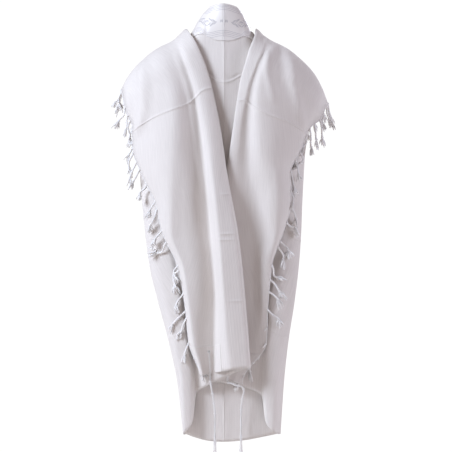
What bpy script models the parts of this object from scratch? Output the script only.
"""A tallit gadol, the large prayer shawl, as it sits folded back over both shoulders.

One cloth of white wool is 1.27 m from neckline to hem and 1.80 m along the neckline. It hangs
down the back, folds over each arm back towards the spine, folds outwards again, and so lies in
three layers on each shoulder. The top layer ends in a fringed edge. All layers run over the
shoulder and end on the chest, where the neckline edge hangs free.

Frame: metres, +Z up, +X to the wearer's right, +Y to the wearer's front. The origin is the
middle of the neck hollow, level with the line where the cloth rests beside the neck.

How a point of the cloth is found:
  figure(across, path)  the general form that carries the cloth. `path` runs down the back from
                        the crest of the shoulder, and is negative on the front.
  fold lines            the cloth is held by named lines that run along `path`. Each has a row in
                        a table, with its place across and its lift off the figure at STATIONS.
  cloth(column, row)    smooth curves through the fold lines give every point between them.
"""
import math

import bmesh
import bpy
import numpy as np
from mathutils import Vector

# Driving sizes
WALL = 0.002              # thickness of the wool wall
SEAM_GAP = 0.0003         # clearance between pieces that touch
APPLIED_GAP = 0.0004      # clearance under a piece that lies on the cloth
LAYER = 0.009             # distance between two layers of the folded cloth
BAND_WALL = 0.0012
CORNER_WALL = 0.0008
HOLE_RADIUS = 0.003       # hole for a tzitzit
CORD_RADIUS = 0.0011      # one of the doubled cords in a tzitzit's loop
STRING_LENGTH = 0.250     # free strings of a tzitzit
STRING_WIDTH = 0.0014
LOCK_LENGTH = 0.068       # one lock of the fringe
LOCK_WIDTH = 0.0040
LOCK_CLEAR = 0.004        # clearance between a lock and the cloth behind it
STRIP_WIDTH = 0.0030      # backing that the locks of a fringe grow from
LEAN_AT = (-0.3, 0.5, 1.0)   # lengths of path, and how far a lock leans away there
LEAN = (0.36, 0.36, 0.30)

# The figure: the crest of the shoulders as seen from behind, and the neck
ARC = 0.140               # length of cloth from the crest to where the back hangs straight
NECK_ARC = 0.115          # the same at the nape, where the collar stands steeper
ARC_DROP = 0.090          # how far that point lies below the crest
LEVEL = 0.460             # from here down the stations are level
SHOULDER_MIDDLE = -0.006  # the left shoulder is held a little further out
COLLAR_LEFT = 0.90        # the collar spreads wider on the left, where reaches count for less
ROUNDNESS = 2.8           # 2 is an ellipse in plan, more is squarer
#                across:  0.00    0.05    0.09    0.13    0.175   0.215   0.25    0.275   0.300
REACH = (0.0, 0.05, 0.09, 0.13, 0.175, 0.215, 0.25, 0.275, 0.300)
SHOULDER = (0.041, 0.038, 0.026, 0.003, -0.019, -0.051, -0.089, -0.137, -0.211)
# Round the neck the crest of the cloth stands up by RISE and sits back by SETBACK
COLLAR_REACH = (-0.03, 0.0, 0.03, 0.05, 0.07, 0.085, 0.105, 0.12)
RISE = (0.068, 0.079, 0.068, 0.053, 0.029, 0.009, 0.0, 0.0)
SETBACK = (0.068, 0.074, 0.068, 0.055, 0.033, 0.014, 0.0, 0.0)

# The figure's sections, one column for each height
FIGURE = {
    "height":     (0.10, 0.00, -0.08, -0.16, -0.26, -0.36, -0.53, -0.72, -0.92, -1.15),
    "middle":     (0.00, 0.00, 0.000, -0.002, -0.006, -0.006, -0.004, 0.003, 0.015, 0.024),
    "half_width": (0.31, 0.31, 0.308, 0.300, 0.268, 0.250, 0.240, 0.222, 0.180, 0.152),
    "back":       (0.088, 0.098, 0.118, 0.130, 0.134, 0.132, 0.128, 0.126, 0.126, 0.126),
    "side":       (-0.02, -0.02, -0.02, -0.02, -0.01, 0.010, 0.030, 0.060, 0.085, 0.095),
    "front":      (0.075, 0.085, 0.098, 0.108, 0.114, 0.116, 0.110, 0.110, 0.110, 0.110),
}

# Stations along the path, and the fold lines' places across at each, from front edge to back hem
#           front  chest  crest  yoke   blade  ribs   waist  elbow  seat   thigh  knee   shin   hem
STATIONS = (-0.30, -0.15, 0.00, 0.12, 0.24, 0.34, 0.42, 0.50, 0.58, 0.68, 0.78, 0.89, 1.00, 1.15)
LEFT_PLACES = {
    "arm_fold": (-.216, -.236, -.250, -.248, -.238, -.232, -.228, -.222, -.214, -.201, -.177,
                 -.1475, -.124, -.107),
    "lobe":     (-.200, -.218, -.232, -.230, -.222, -.216, -.212, -.204, -.196, -.178, -.152,
                 -.130, -.110, -.101),
    "lobe_side": (-.174, -.190, -.202, -.200, -.196, -.190, -.184, -.174, -.164, -.142, -.118,
                  -.099, -.085, -.083),
    "lobe_foot": (-.164, -.180, -.190, -.186, -.182, -.176, -.170, -.160, -.150, -.132, -.110,
                  -.092, -.078, -.076),
    "under":    (-.120, -.130, -.135, -.110, -.076, -.050, -.036, -.032, -.032, -.034, -.036,
                 -.038, -.040, -.040),
    "neck_fold": (-.072, -.088, -.097, -.079, -.041, -.013, .002, .017, .031, .043, .052,
                  .061, .067, .067),
    "roll":     (-.112, -.117, -.113, -.095, -.061, -.038, -.029, -.020, -.012, -.004, .003,
                 .013, .025, .025),
    "valley":   (-.145, -.155, -.153, -.127, -.096, -.080, -.066, -.056, -.047, -.036, -.031,
                 -.031, -.031, -.031),
    "crest":    (-.178, -.192, -.200, -.166, -.134, -.129, -.129, -.130, -.132, -.106, -.093,
                 -.081, -.056, -.056),
    "fringe":   (-.212, -.248, -.278, -.266, -.242, -.234, -.213, -.181, -.164, -.122, -.105,
                 -.093, -.060, -.060),
}
RIGHT_PLACES = {
    "arm_fold": (.212, .234, .250, .246, .230, .220, .216, .212, .209, .202, .190,
                 .173, .161, .151),
    "lobe":     (.196, .216, .232, .228, .214, .204, .200, .196, .190, .178, .152,
                 .145, .135, .131),
    "lobe_side": (.170, .188, .202, .198, .190, .182, .178, .170, .164, .150, .124,
                  .116, .111, .114),
    "lobe_foot": (.160, .178, .190, .184, .178, .168, .164, .156, .150, .138, .116,
                  .109, .105, .106),
    "under":    (.120, .130, .135, .110, .084, .072, .066, .060, .056, .050, .046,
                 .042, .038, .038),
    "neck_fold": (.072, .078, .085, .076, .048, .028, .012, .000, -.006, -.010, -.014,
                  -.016, -.018, -.018),
    "roll":     (.096, .098, .102, .091, .060, .040, .030, .022, .016, .012, .008,
                 .006, -.002, -.002),
    "valley":   (.120, .128, .134, .103, .074, .064, .063, .064, .066, .070, .066,
                 .050, .014, .014),
    "crest":    (.170, .185, .190, .150, .122, .120, .128, .130, .130, .109, .104,
                 .100, .032, .032),
    "fringe":   (.204, .240, .280, .264, .225, .202, .175, .175, .157, .126, .118,
                 .114, .050, .050),
}
# How far each line stands off the figure at the same stations, less its layer's own height
LEFT_LIFTS = {
    "lobe":     (.001, .001, .001, .001, .001, .002, .002, .003, .004, .007, .012,
                 .020, .028, .030),
    "lobe_side": (.001, .001, .001, .001, .001, .002, .002, .002, .003, .005, .009,
                  .015, .020, .022),
    "under":    (.002, .002, .002, .002, .002, .004, .009, .013, .015, .015, .015,
                 .015, .015, .015),
    "neck_fold": (.003, .004, .005, .003, .003, .006, .012, .019, .023, .024, .024,
                  .023, .022, .022),
    "roll":     (.008, .006, .006, .006, .009, .015, .025, .034, .039, .041, .041,
                 .039, .036, .036),
    "valley":   (.000, .000, .000, .001, .006, .009, .011, .012, .013, .013, .013,
                 .013, .012, .012),
    "crest":    (.006, .003, .001, .009, .028, .040, .045, .043, .037, .031, .027,
                 .023, .017, .017),
    "fringe":   (.002, .002, .002, .003, .007, .011, .010, .009, .011, .014, .016,
                 .016, .015, .015),
}
RIGHT_LIFTS = {
    "lobe":     (.001, .001, .001, .001, .001, .002, .002, .003, .004, .007, .011,
                 .016, .022, .024),
    "lobe_side": (.001, .001, .001, .001, .001, .002, .002, .002, .003, .005, .008,
                  .011, .015, .017),
    "under":    (.002, .002, .002, .002, .000, .000, .000, .000, .000, .000, .000,
                 .000, .000, .000),
    "neck_fold": (.001, .001, .001, .002, .004, .004, .003, .001, .000, .000, .000,
                  .000, .000, .000),
    "roll":     (.004, .002, .001, .003, .006, .006, .005, .003, .002, .002, .002,
                 .002, .002, .002),
    "valley":   (.000, .000, .000, .000, .000, .000, .000, .000, .000, .000, .000,
                 .000, .000, .000),
    "crest":    (.006, .003, .001, .009, .020, .027, .030, .029, .022, .013, .010,
                 .007, .003, .003),
    "fringe":   (.002, .002, .002, .002, .003, .004, .004, .003, .003, .005, .010,
                 .009, .003, .003),
}
# Where each line starts on the front and ends at the hem, as lengths of path
LEFT_ENDS = {
    "spine": (0.035, 1.170), "inner_back": (-0.045, 1.168), "outer_back": (-0.150, 1.159),
    "arm_fold": (-0.205, 1.150), "lobe": (-0.215, 1.142), "lobe_side": (-0.225, 1.112),
    "lobe_foot": (-0.232, 1.036), "under": (-0.255, 1.008), "neck_fold": (-0.285, 0.958),
    "roll": (-0.290, 0.962), "valley": (-0.295, 0.975), "crest": (-0.300, 0.979),
    "fringe": (-0.300, 0.982),
}
RIGHT_ENDS = {
    "spine": (0.035, 1.170), "inner_back": (-0.045, 1.166), "outer_back": (-0.150, 1.156),
    "arm_fold": (-0.205, 1.149), "lobe": (-0.215, 1.138), "lobe_side": (-0.225, 1.112),
    "lobe_foot": (-0.232, 1.042), "under": (-0.255, 1.012), "neck_fold": (-0.285, 1.002),
    "roll": (-0.290, 0.994), "valley": (-0.295, 0.996), "crest": (-0.300, 1.003),
    "fringe": (-0.300, 1.006),
}
# The stretches that the cloth is built in: first and last column
STRETCHES = {
    "left_flap": (0.0, 7.0), "left_under_fold": (7.0, 13.5), "back_panel": (13.5, 18.5),
    "right_under_fold": (18.5, 25.0), "right_flap": (25.0, 32.0),
}
STEPS = {"turn": 3, "fringe": 4, "back": 4, "under": 3, "other": 2}   # steps from line to line
EDGE_ROWS = (0.0, 0.031, 0.062, 0.0925)       # closer rows at the front edge and the hem
ROWS = np.concatenate([EDGE_ROWS, np.linspace(0.0925, 0.938, 20)[1:], [0.969, 1.0]])
SEAM_TRIM = 0.0025        # of the way between two lines, on each side of a seam
BAND_STEPS = 8            # columns and rows of the back panel that the neckband covers
BAND_ROWS = 4
CORNER_ROWS = 3           # rows of the flap that a corner patch covers
# The knotted part of a tzitzit: share of its length, radius
KNOTS = (
    (0.00, 0.0018), (0.04, 0.0034), (0.10, 0.0023), (0.46, 0.0023), (0.50, 0.0034), (0.54, 0.0023),
    (0.92, 0.0023), (0.96, 0.0034), (1.00, 0.0026),
)
# Steps of the knotted part from the cloth's edge: straight down, leaning, or aside along the hem
HANGING = ((0.0, 0.0, -0.006), (0.0, 0.0, -0.040), (0.0, 0.0, -0.080), (0.0, 0.0, -0.116))
LEANING = ((0.0, 0.0, -0.006), (0.004, 0.0, -0.040), (0.011, 0.0, -0.080), (0.014, 0.0, -0.114))
ASIDE = ((0.0, 0.0, -0.0065), (0.013, -0.0075, -0.009), (0.028, -0.009, -0.015),
         (0.041, -0.009, -0.018), (0.047, -0.007, -0.028), (0.042, -0.004, -0.055),
         (0.039, -0.002, -0.086))
# The corners: how many steps of the flap the patch covers, the hole's column and row, the route
CORNERS = {
    "left_back": {"flap": "left_flap", "back": True, "steps": 7, "hole": (1.8, 0.952),
                  "route": LEANING},
    "right_back": {"flap": "right_flap", "back": True, "steps": 7, "hole": (29.65, 0.975),
                   "route": ASIDE},
    "left_front": {"flap": "left_flap", "back": False, "steps": 6, "hole": (0.9, 0.030),
                   "route": HANGING},
    "right_front": {"flap": "right_flap", "back": False, "steps": 6, "hole": (31.1, 0.030),
                    "route": HANGING},
}
BACK_SHARE = {"spine": 0.0, "inner_back": 0.36, "outer_back": 0.74}   # of the way to the arm fold
TURN_BULGE = 0.006        # how far a fold's turn reaches past its line

WOOL = (0.83, 0.82, 0.83)
SATIN = (0.88, 0.87, 0.86)
THREAD = (0.86, 0.85, 0.84)


def clear_scene():
    """Remove every object, so that the file can be run again."""
    for item in list(bpy.data.objects):
        bpy.data.objects.remove(item, do_unlink=True)


def make_collection(name):
    """A collection of the given name under the scene."""
    group = bpy.data.collections.new(name)
    bpy.context.scene.collection.children.link(group)
    return group


def make_material(name, colour, roughness):
    """A plain Principled material."""
    material = bpy.data.materials.new(name)
    material.use_nodes = True
    shader = material.node_tree.nodes["Principled BSDF"]
    shader.inputs["Base Color"].default_value = (*colour, 1.0)
    shader.inputs["Roughness"].default_value = roughness
    shader.inputs["Metallic"].default_value = 0.0
    return material


def smooth_curve(knots, values, at):
    """Cubic through the knots whose slopes are limited, so that it never overshoots them."""
    knots = np.asarray(knots, float)
    values = np.asarray(values, float)
    step = np.diff(knots)
    rise = np.diff(values, axis=-1) / step
    before, after = rise[..., :-1], rise[..., 1:]
    turning = before * after <= 0
    weight_before = 2 * step[1:] + step[:-1]
    weight_after = step[1:] + 2 * step[:-1]
    safe_before = np.where(turning, 1.0, before)
    safe_after = np.where(turning, 1.0, after)
    blend = (weight_before + weight_after) / (weight_before / safe_before + weight_after / safe_after)
    inner = np.where(turning, 0.0, blend)
    slope = np.concatenate([rise[..., :1], inner, rise[..., -1:]], axis=-1)
    at = np.clip(np.asarray(at, float), knots[0], knots[-1])
    cell = np.clip(np.searchsorted(knots, at, side="right") - 1, 0, len(knots) - 2)
    width = step[cell]
    t = (at - knots[cell]) / width
    start = (1 + 2 * t) * (1 - t) ** 2 * values[..., cell]
    end = t * t * (3 - 2 * t) * values[..., cell + 1]
    bend = t * (1 - t) ** 2 * slope[..., cell] - t * t * (1 - t) * slope[..., cell + 1]
    return start + end + bend * width


def figure(across, path):
    """Point of the general figure: `across` from the spine, `path` down from the crest.

    Over the shoulder the section front to back is a half ellipse. Below it the section in plan is
    half a squared ellipse whose width and depth come from FIGURE. The middle part rises up the
    neck, and there the crest follows the back of the neck.
    """
    heights = FIGURE["height"][::-1]
    reach = np.where(across < 0, -across * COLLAR_LEFT, across)
    collar = smooth_curve(COLLAR_REACH, RISE, reach)
    top = smooth_curve(REACH, SHOULDER, np.abs(across - SHOULDER_MIDDLE)) + collar
    crest = -smooth_curve(COLLAR_REACH, SETBACK, reach)
    saved = (ARC - NECK_ARC) * collar / max(RISE)
    arc = ARC - saved
    length = np.abs(path)
    turn = np.clip(length / arc, 0.0, 1.0) * math.pi / 2
    level = np.clip((length - ARC) / (LEVEL - ARC), 0.0, 1.0)
    fade = 1 - level * level * (3 - 2 * level)
    drop = ARC_DROP * (1 - np.cos(turn)) + np.maximum(length - arc, 0.0) - saved * (1 - fade)
    z = top * fade - drop
    size = {key: smooth_curve(heights, FIGURE[key][::-1], z) for key in FIGURE if key != "height"}
    share = np.clip(np.abs(across - size["middle"]) / size["half_width"], 0.0, 0.998)
    facing = np.cos(np.arcsin(share ** (ROUNDNESS / 2)))
    behind = size["side"] + (size["back"] - size["side"]) * facing
    before = size["front"] * facing
    outward = np.sin(turn)
    y_back = crest + (-behind - crest) * outward
    y_front = crest + (before - crest) * outward
    y = np.where(path >= 0, y_back, y_front)
    return np.stack([across, y, z], axis=-1)


def figure_normal(across, path):
    """Unit normal of the figure, pointing away from the wearer."""
    step = 0.0005
    along_path = figure(across, path + step) - figure(across, path - step)
    along_cross = figure(across + step, path) - figure(across - step, path)
    normal = np.cross(along_path, along_cross)
    return normal / np.linalg.norm(normal, axis=-1, keepdims=True)


def fold_lines(places, lifts, ends, side, under_layer, flap_layer):
    """Fold lines of one side in order from the spine to the fringe: (name, across, lift, ends).

    A turn line is added in the middle of each of the two folds, so that the cloth goes round.
    """
    arm = np.array(places["arm_fold"])
    neck = np.array(places["neck_fold"])
    zero = np.zeros(len(STATIONS))
    under = under_layer
    top = flap_layer
    lines = [
        ("spine", arm * BACK_SHARE["spine"], zero, ends["spine"]),
        ("inner_back", arm * BACK_SHARE["inner_back"], zero, ends["inner_back"]),
        ("outer_back", arm * BACK_SHARE["outer_back"], zero, ends["outer_back"]),
        ("arm_fold_in", arm, zero, ends["arm_fold"]),
        ("arm_turn", arm + side * TURN_BULGE, zero + LAYER / 2, ends["arm_fold"]),
        ("arm_fold_out", arm, zero + LAYER, ends["arm_fold"]),
        ("lobe", places["lobe"], LAYER + np.array(lifts["lobe"]), ends["lobe"]),
        ("lobe_side", places["lobe_side"], LAYER + np.array(lifts["lobe_side"]), ends["lobe_side"]),
        ("lobe_foot", places["lobe_foot"], zero + LAYER, ends["lobe_foot"]),
        ("under", places["under"], zero + LAYER + np.array(lifts["under"]), ends["under"]),
        ("neck_fold_in", neck, under + np.array(lifts["neck_fold"]), ends["neck_fold"]),
        ("neck_turn", neck - side * TURN_BULGE, (under + top) / 2 + np.array(lifts["neck_fold"]),
         ends["neck_fold"]),
        ("neck_fold_out", neck, top + np.array(lifts["neck_fold"]), ends["neck_fold"]),
        ("roll", places["roll"], top + np.array(lifts["roll"]), ends["roll"]),
        ("valley", places["valley"], 2 * LAYER + np.array(lifts["valley"]), ends["valley"]),
        ("crest", places["crest"], 2 * LAYER + np.array(lifts["crest"]), ends["crest"]),
        ("fringe", places["fringe"], 2 * LAYER + np.array(lifts["fringe"]), ends["fringe"]),
    ]
    return lines


def whole_cloth():
    """Fold lines of the whole cloth, from the left fringe through the spine to the right fringe."""
    crossing = np.clip((np.array(STATIONS) - 0.28) / 0.20, 0.0, 1.0)
    left_under = LAYER + 2 * LAYER * crossing
    left_top = 2 * LAYER + 2 * LAYER * crossing
    level = np.zeros(len(STATIONS))
    left = fold_lines(LEFT_PLACES, LEFT_LIFTS, LEFT_ENDS, -1, left_under, left_top)
    right = fold_lines(RIGHT_PLACES, RIGHT_LIFTS, RIGHT_ENDS, 1, level + LAYER, level + 2 * LAYER)
    return left[::-1] + right[1:]


LINES = whole_cloth()
SPINE = 16                # index of the spine among the lines; the fringes are 0 and 32
LINE_NAMES = [line[0] for line in LINES]
# How many lines out from the spine each line of a side lies
LINES_OUT = {name: step for step, name in enumerate(LINE_NAMES[SPINE:])}


def cloth(columns, rows):
    """Points of the cloth's middle surface, an array of rows by columns.

    `columns` are positions among the fold lines, such as 2.5 for half way from line 2 to line 3.
    `rows` run from 0 at the front edge to 1 at the back hem.
    """
    columns = np.asarray(columns, float)
    rows = np.asarray(rows, float)[:, None]
    starts = np.array([line[3][0] for line in LINES])
    hems = np.array([line[3][1] for line in LINES])
    paths = starts + (hems - starts) * rows
    across = np.stack([smooth_curve(STATIONS, line[1], paths[:, k])
                       for k, line in enumerate(LINES)], axis=-1)
    lift = np.stack([smooth_curve(STATIONS, line[2], paths[:, k])
                     for k, line in enumerate(LINES)], axis=-1)
    knots = np.arange(len(LINES))
    path = smooth_curve(knots, paths, columns)
    place = smooth_curve(knots, across, columns)
    off = smooth_curve(knots, lift, columns)
    return figure(place, path) + off[..., None] * figure_normal(place, path)


def add_sheet(name, points, thickness, material, group):
    """An open grid of points with a Solidify wall, half to each side.

    Every square is halved the same way, so that pieces made from the same points stay parallel.
    """
    row_count, column_count = points.shape[:2]
    flat = points.reshape(-1, 3)
    corner = np.arange(row_count * column_count).reshape(row_count, column_count)
    near, far = corner[:-1], corner[1:]
    first = np.stack([near[:, :-1], near[:, 1:], far[:, 1:]], axis=-1).reshape(-1, 3)
    second = np.stack([near[:, :-1], far[:, 1:], far[:, :-1]], axis=-1).reshape(-1, 3)
    mesh = bpy.data.meshes.new(name)
    mesh.from_pydata(flat.tolist(), [], np.concatenate([first, second]).tolist())
    mesh.materials.append(material)
    mesh.shade_smooth()
    sheet = bpy.data.objects.new(name, mesh)
    group.objects.link(sheet)
    wall = sheet.modifiers.new("Wall", "SOLIDIFY")
    wall.thickness = thickness
    wall.offset = 0.0
    return sheet


def grid_normals(points):
    """Unit normals of a grid of points, towards the outer side of the cloth."""
    along = np.gradient(points, axis=0)
    beside = np.gradient(points, axis=1)
    normal = np.cross(along, beside)
    return normal / np.linalg.norm(normal, axis=-1, keepdims=True)


def cloth_frame(column, row):
    """One point of the cloth, and the unit normal there."""
    around = cloth([column - 0.1, column, column + 0.1], [row - 0.005, row, row + 0.005])
    return around[1, 1], grid_normals(around)[1, 1]


def unit(vector):
    """The vector at length one."""
    return vector / np.linalg.norm(vector, axis=-1, keepdims=True)


def add_mesh(name, verts, faces, material, group):
    """An object from its points and faces."""
    mesh = bpy.data.meshes.new(name)
    mesh.from_pydata(verts, [], faces)
    mesh.materials.append(material)
    item = bpy.data.objects.new(name, mesh)
    group.objects.link(item)
    return item


def stretch_columns(name):
    """Columns of one stretch of the cloth, trimmed where it meets the next stretch.

    The steps are closer where the cloth turns, over the shoulder's end and in the back.
    """
    columns = [0.0]
    for line, pair in enumerate(zip(LINE_NAMES, LINE_NAMES[1:])):
        kind = "other"
        for word in ("turn", "fringe", "back"):
            if word in pair[0] or word in pair[1]:
                kind = word
        if "under" in pair:
            kind = "under"
        columns += [line + (step + 1) / STEPS[kind] for step in range(STEPS[kind])]
    first, last = STRETCHES[name]
    columns = np.array(columns)
    columns = columns[(columns > first - 0.01) & (columns < last + 0.01)]
    if first > 0:
        columns[0] += SEAM_TRIM
    if last < len(LINES) - 1:
        columns[-1] -= SEAM_TRIM
    return columns


def stretch_grid(name):
    """Middle surface of one stretch, and its unit normals."""
    points = cloth(stretch_columns(name), ROWS)
    return points, grid_normals(points)


def add_applied(name, stretch, rows, columns, thickness, material, group):
    """A piece that lies on a stretch's outer face, made from the stretch's own points."""
    points, normals = stretch_grid(stretch)
    clear = WALL / 2 + APPLIED_GAP + thickness / 2
    raised = points + clear * normals
    return add_sheet(name, raised[rows, columns], thickness, material, group)


def ring_faces(ring_count, sides):
    """Quads between successive rings of corners, with a cap at each end."""
    faces = []
    for ring in range(ring_count - 1):
        for side in range(sides):
            here = ring * sides + side
            beside = ring * sides + (side + 1) % sides
            faces.append((here, beside, beside + sides, here + sides))
    faces.append(tuple(range(sides))[::-1])
    last = (ring_count - 1) * sides
    faces.append(tuple(range(last, last + sides)))
    return faces


def grow(bm, face, points, widths):
    """Extrude a four-sided face through the points, so that a strand grows out of its backing.

    There is a width for each point that is reached. A point more only sets the last heading.
    """
    places = [face.calc_center_median()] + [Vector(point) for point in points]
    for index, width in enumerate(widths):
        ahead = places[min(index + 2, len(places) - 1)]
        heading = (ahead - places[index]).normalized()
        face = bmesh.ops.extrude_discrete_faces(bm, faces=[face])["faces"][0]
        corners = list(face.verts)
        first = corners[1].co - corners[0].co
        first = (first - heading * first.dot(heading)).normalized() * width / 2
        second = heading.cross(first)
        for corner, (one, two) in zip(corners, ((-1, -1), (1, -1), (1, 1), (-1, 1))):
            corner.co = places[index + 1] + first * one + second * two
    return face


def room_needed(points, paths, side):
    """How far each point has to move outwards to clear the folded layer behind it, and the way."""
    on_back = np.where(paths >= 0, 1.0, -1.0)
    lengths = np.abs(paths)
    for _ in range(4):
        lengths = np.clip(lengths + figure(points[:, 0], lengths * on_back)[:, 2] - points[:, 2],
                          0.03, 1.3)
    paths = lengths * on_back
    picks = [SPINE + side * LINES_OUT[name] for name in ("under", "lobe_foot", "lobe_side", "lobe",
                                                         "arm_fold_out", "arm_turn")]
    places = np.stack([smooth_curve(STATIONS, LINES[k][1], paths) for k in picks]) * side
    lifts = np.stack([smooth_curve(STATIONS, LINES[k][2], paths) for k in picks])
    reach = points[:, 0] * side
    below = np.array([np.interp(reach[k], places[:, k], lifts[:, k]) for k in range(len(points))])
    normal = figure_normal(points[:, 0], paths)
    stand = np.sum((points - figure(points[:, 0], paths)) * normal, axis=1)
    need = below + WALL / 2 + LOCK_WIDTH * 0.6 + LOCK_CLEAR - stand
    over_cloth = np.clip((places[-1] + 0.025 - reach) / 0.02, 0.0, 1.0)
    return np.maximum(need, 0.0) * over_cloth, normal


def fringe_locks(root, away, paths, side, seed):
    """Middle and tip of each lock: down and away from the edge, and clear of the cloth behind."""
    chance = np.random.default_rng(seed)
    count = len(root)
    along = unit(np.gradient(root, axis=0))
    away = unit(away - along * np.sum(away * along, axis=1)[:, None])
    away = unit(away * np.array((1.0, 0.3, 1.0)))
    lean = np.interp(paths, LEAN_AT, LEAN)[:, None] + chance.uniform(-0.04, 0.04, (count, 1))
    size = LOCK_LENGTH * chance.uniform(0.92, 1.08, (count, 1))
    heading = unit(away * lean + np.array((0.0, 0.0, -0.78)))
    needs, normals = [], []
    for share in (0.25, 0.5, 0.75, 1.0):
        points = root + heading * size * share
        fall = paths + np.sign(paths) * size[:, 0] * share * 0.8
        need, normal = room_needed(points, fall, side)
        needs.append(need)
        normals.append(normal)
    middle_need = np.maximum(np.maximum(2 * needs[0], needs[1]), needs[2])[:, None]
    tip_need = np.maximum(np.maximum(needs[1] * 0.8, needs[2]), needs[3])[:, None]
    middle = root + heading * size * 0.5 + middle_need * normals[1]
    return middle, root + heading * size + tip_need * normals[3]


def add_fringe(name, side, material, group, seed):
    """A fringe: a narrow strip parted from the short edge, and the locks that grow out of it.

    The strip follows the wall's own straight pieces, with two locks on each piece.
    """
    outer = SPINE + side * SPINE
    edge, inner = cloth([outer, outer - side * 0.3], ROWS).swapaxes(0, 1)
    stretch = "left_flap" if side < 0 else "right_flap"
    normals = stretch_grid(stretch)[1][:, 0 if side < 0 else -1]
    starts, hems = LINES[outer][3]
    verts, roots, root_ways, root_paths = [], [], [], []
    for piece in range(len(ROWS) - 1):
        share = LOCK_WIDTH / 2 / np.linalg.norm(edge[piece + 1] - edge[piece])
        spots = (0.0, 0.25 - share, 0.25 + share, 0.75 - share, 0.75 + share, 1.0)
        last_piece = piece == len(ROWS) - 2
        for spot in spots if last_piece else spots[:-1]:
            if spot in (spots[2], spots[4]):
                roots.append(len(verts) // 4 - 1)
                row = ROWS[piece] * (1 - spot) + ROWS[piece + 1] * spot
                root_paths.append(starts + (hems - starts) * row)
                root_ways.append(away)
            place = edge[piece] * (1 - spot) + edge[piece + 1] * spot
            away = unit(place - inner[piece] * (1 - spot) - inner[piece + 1] * spot)
            normal = unit(normals[piece] * (1 - spot) + normals[piece + 1] * spot)
            near = place + away * SEAM_GAP
            far = near + away * STRIP_WIDTH
            lip = normal * WALL / 2
            verts += [tuple(near - lip), tuple(near + lip), tuple(far + lip), tuple(far - lip)]
    strip = add_mesh(name, verts, ring_faces(len(verts) // 4, 4), material, group)
    bm = bmesh.new()
    bm.from_mesh(strip.data)
    bmesh.ops.recalc_face_normals(bm, faces=bm.faces)
    bm.faces.ensure_lookup_table()
    outer_faces = [bm.faces[ring * 4 + 2] for ring in roots]
    centres = np.array([tuple(face.calc_center_median()) for face in outer_faces])
    middles, tips = fringe_locks(centres, np.array(root_ways), np.array(root_paths), side, seed)
    for face, middle, tip in zip(outer_faces, middles, tips):
        grow(bm, face, (middle, tip), (LOCK_WIDTH * 0.8, LOCK_WIDTH))
    bm.to_mesh(strip.data)
    bm.free()
    return strip


def knotted_rings(stops, outward, sides):
    """Corners of the knotted part's rings along the curve through the stops."""
    track = np.array(stops)
    lengths = np.concatenate([[0.0], np.cumsum(np.linalg.norm(np.diff(track, axis=0), axis=1))])
    lengths = lengths / lengths[-1]

    def curve(share):
        return smooth_curve(lengths, track.T, min(max(share, 0.0), 1.0))

    rings = []
    for share, radius in KNOTS:
        heading = unit(curve(share + 0.05) - curve(share - 0.05))
        first = unit(outward - heading * outward.dot(heading))
        second = np.cross(heading, first)
        for side in range(sides):
            angle = 2 * math.pi * (side + 0.5) / sides
            rings.append(curve(share) + radius * (first * math.cos(angle) + second * math.sin(angle)))
    return np.array(rings)


def add_tzitzit(name, column, row, edge_row, route, material, group):
    """One tzitzit: a loop through the hole and round the edge, the knotted part, eight strings."""
    sides = 8
    down = [row, (row + edge_row) / 2, row + (edge_row - row) * 0.97]
    middle, outward = [], []
    for place in down:
        here, normal = cloth_frame(column, place)
        middle.append(here)
        outward.append(normal)
    middle, outward = np.array(middle), np.array(outward)
    edge = cloth([column], [edge_row])[0, 0]
    stops = [edge + np.array(move) for move in route]
    verts = knotted_rings(stops, outward[-1], sides)
    head = add_mesh(name, verts.tolist(), ring_faces(len(KNOTS), sides), material, group)
    bm = bmesh.new()
    bm.from_mesh(head.data)
    bmesh.ops.recalc_face_normals(bm, faces=bm.faces)
    bm.faces.ensure_lookup_table()
    last_band = (len(KNOTS) - 2) * sides
    string_roots = [bm.faces[last_band + side] for side in range(sides)]
    loop_roots = [bm.faces[sides - 1], bm.faces[sides // 2 - 1]]
    centre = Vector(verts[-sides:].mean(axis=0))
    for root in string_roots:
        away = root.calc_center_median() - centre
        away.z = 0.0
        away = away.normalized()
        knee = root.calc_center_median() + away * 0.0016 + Vector((0.0, 0.0, -0.006))
        tip = knee + away * 0.007 + Vector((0.0, 0.0, -STRING_LENGTH))
        grow(bm, root, (knee, tip), (STRING_WIDTH, STRING_WIDTH))
    outside = middle + outward * (WALL / 2 + SEAM_GAP + CORNER_WALL + CORD_RADIUS + 0.002)
    inside = middle - outward * (WALL / 2 + CORD_RADIUS + 0.001)
    width = 2 * CORD_RADIUS
    ends = [grow(bm, loop_roots[0], (outside[2], outside[1], outside[0], middle[0]), (width,) * 3),
            grow(bm, loop_roots[1], (inside[2], inside[1], inside[0], middle[0]), (width,) * 3)]
    borders = [edge_item for face in ends for edge_item in face.edges]
    bmesh.ops.delete(bm, geom=ends, context="FACES_ONLY")
    bmesh.ops.bridge_loops(bm, edges=borders)
    bmesh.ops.recalc_face_normals(bm, faces=bm.faces)
    bm.to_mesh(head.data)
    bm.free()
    return head


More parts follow.
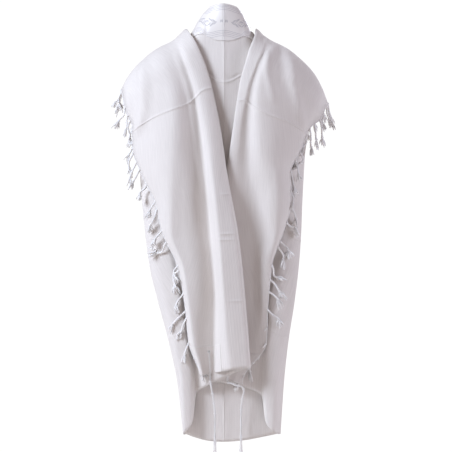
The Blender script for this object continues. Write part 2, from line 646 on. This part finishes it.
def add_cutter(name, column, row, group):
    """A short round cutter through the cloth, across its face."""
    centre, normal = cloth_frame(column, row)
    bpy.ops.mesh.primitive_cylinder_add(vertices=8, radius=HOLE_RADIUS, depth=0.012,
                                        location=tuple(centre))
    cutter = bpy.context.object
    cutter.name = name
    cutter.rotation_euler = Vector(normal).to_track_quat("Z", "Y").to_euler()
    for holder in list(cutter.users_collection):
        holder.objects.unlink(cutter)
    group.objects.link(cutter)
    cutter.hide_render = True
    cutter.display_type = "WIRE"
    return cutter


def cut(item, cutter):
    """Take the cutter's shape out of an object."""
    hole = item.modifiers.new(cutter.name, "BOOLEAN")
    hole.operation = "DIFFERENCE"
    hole.solver = "EXACT"
    hole.object = cutter


def add_corner(name, corner, pieces, materials, group, cutters):
    """A corner of the cloth: the patch, the hole through both, and the tzitzit."""
    left = corner["flap"] == "left_flap"
    rows = slice(-CORNER_ROWS, None) if corner["back"] else slice(0, CORNER_ROWS)
    columns = slice(0, corner["steps"] + 1) if left else slice(-corner["steps"] - 1, None)
    patch = add_applied(name + "_corner", corner["flap"], rows, columns, CORNER_WALL,
                        materials["wool"], group)
    column, row = corner["hole"]
    cutter = add_cutter(name + "_hole", column, row, cutters)
    cut(patch, cutter)
    cut(pieces[corner["flap"]], cutter)
    add_tzitzit(name + "_tzitzit", column, row, 1.0 if corner["back"] else 0.0, corner["route"],
                materials["thread"], group)


def build():
    """Make the whole part."""
    clear_scene()
    group = make_collection("tallit_prayer_shawl")
    cutters = make_collection("cutters")
    materials = {
        "wool": make_material("white_wool", WOOL, 0.9),
        "satin": make_material("satin_band", SATIN, 0.35),
        "thread": make_material("wool_thread", THREAD, 0.8),
    }
    pieces = {}
    for name in STRETCHES:
        points = stretch_grid(name)[0]
        pieces[name] = add_sheet(name, points, WALL, materials["wool"], group)
    middle = len(stretch_columns("back_panel")) // 2
    add_applied("atarah", "back_panel", slice(0, BAND_ROWS),
                slice(middle - BAND_STEPS, middle + BAND_STEPS + 1), BAND_WALL,
                materials["satin"], group)
    for name, corner in CORNERS.items():
        add_corner(name, corner, pieces, materials, group, cutters)
    add_fringe("left_fringe", -1, materials["thread"], group, 11)
    add_fringe("right_fringe", 1, materials["thread"], group, 23)


build()
